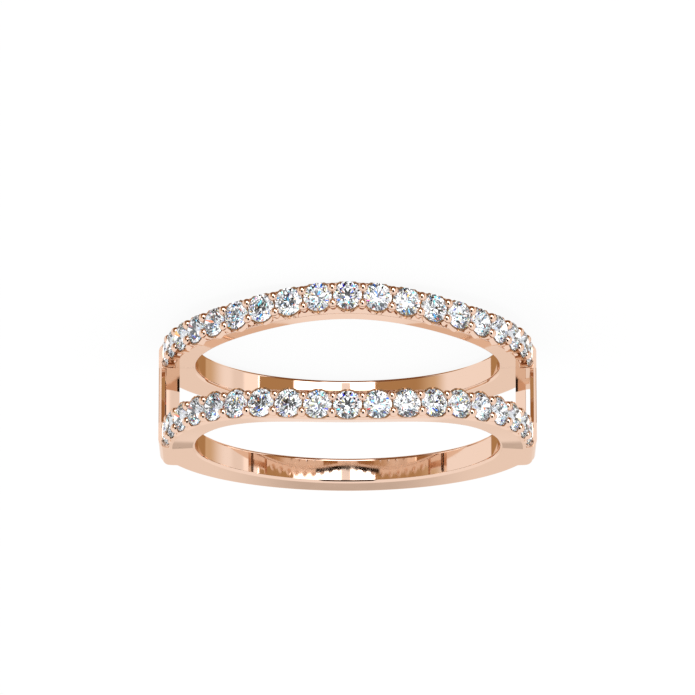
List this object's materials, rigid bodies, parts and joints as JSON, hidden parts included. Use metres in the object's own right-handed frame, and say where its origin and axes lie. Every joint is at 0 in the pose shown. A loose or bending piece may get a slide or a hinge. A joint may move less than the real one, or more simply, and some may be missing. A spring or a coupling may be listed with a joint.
{
  "type": "half eternity ring",
  "caption": "Double-band half eternity ring guard: two bowed bands with rows of round stones, joined at the sides by pierced bridges.",
  "frame": {"origin": "middle of the finger hole, halfway between the two bands", "axes": "+Z along the finger, so the ring lies on its side on a surface; -Y towards the stones at the front, +Y towards the plain back; +X across the ring"},
  "size_m": [0.0216, 0.0214, 0.008],
  "materials": {
    "rose_gold": "polished",
    "clear_stone": "polished"
  },
  "bodies": {
    "root": {"double_band": "rose_gold", "stone_upper_01": "clear_stone", "stone_upper_02": "clear_stone", "stone_upper_03": "clear_stone", "stone_upper_04": "clear_stone", "stone_upper_05": "clear_stone", "stone_upper_06": "clear_stone", "stone_upper_07": "clear_stone", "stone_upper_08": "clear_stone", "stone_upper_09": "clear_stone", "stone_upper_10": "clear_stone", "stone_upper_11": "clear_stone", "stone_upper_12": "clear_stone", "stone_upper_13": "clear_stone", "stone_upper_14": "clear_stone", "stone_upper_15": "clear_stone", "stone_upper_16": "clear_stone", "stone_upper_17": "clear_stone", "stone_upper_18": "clear_stone", "stone_upper_19": "clear_stone", "stone_lower_01": "clear_stone", "stone_lower_02": "clear_stone", "stone_lower_03": "clear_stone", "stone_lower_04": "clear_stone", "stone_lower_05": "clear_stone", "stone_lower_06": "clear_stone", "stone_lower_07": "clear_stone", "stone_lower_08": "clear_stone", "stone_lower_09": "clear_stone", "stone_lower_10": "clear_stone", "stone_lower_11": "clear_stone", "stone_lower_12": "clear_stone", "stone_lower_13": "clear_stone", "stone_lower_14": "clear_stone", "stone_lower_15": "clear_stone", "stone_lower_16": "clear_stone", "stone_lower_17": "clear_stone", "stone_lower_18": "clear_stone", "stone_lower_19": "clear_stone"}
  },
  "joints": []
}
